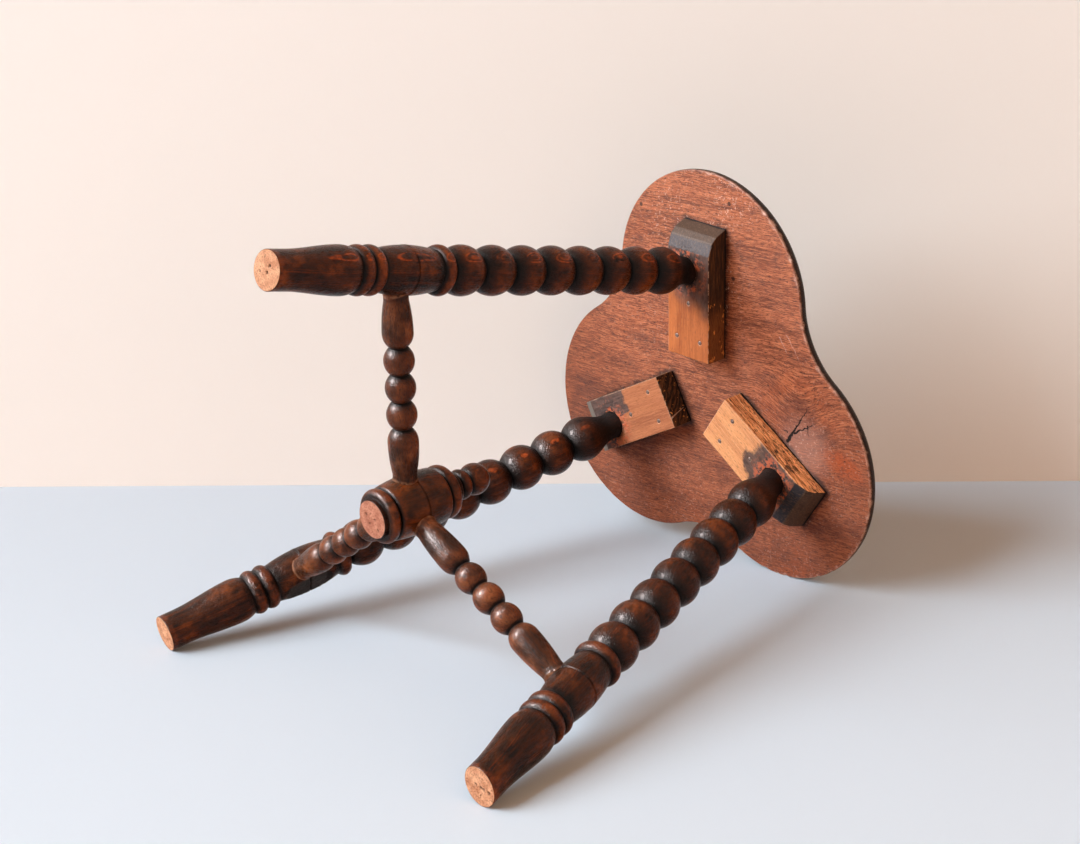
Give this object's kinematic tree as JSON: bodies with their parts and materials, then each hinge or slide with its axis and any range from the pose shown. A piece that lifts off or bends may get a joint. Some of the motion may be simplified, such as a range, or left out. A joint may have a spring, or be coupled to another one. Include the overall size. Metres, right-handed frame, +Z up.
{
  "type": "stool",
  "caption": "Low stool with a trefoil plank seat on nailed blocks, splayed bobbin-turned legs, and turned stretchers that meet at a hub with a ball finial.",
  "frame": {"origin": "on the floor, under the middle of the stool's bounding box", "axes": "+Z up, with the seat on top; -Y towards the front leg; +X towards the right leg"},
  "size_m": [0.4034, 0.3736, 0.434],
  "materials": {
    "turned_wood": "dark walnut stain under worn gloss shellac",
    "seat_wood": "red-brown stained board, polished edge",
    "block_wood": "bare sawn wood with stained sides",
    "nail_iron": "dull oxidised wire nails"
  },
  "bodies": {
    "root": {"seat": "seat_wood", "block_front": "block_wood", "block_right": "block_wood", "block_left": "block_wood", "block_nails": "nail_iron", "leg_front": "turned_wood", "leg_right": "turned_wood", "leg_left": "turned_wood", "stretcher_front": "turned_wood", "stretcher_right": "turned_wood", "stretcher_left": "turned_wood", "hub": "turned_wood"}
  },
  "joints": []
}
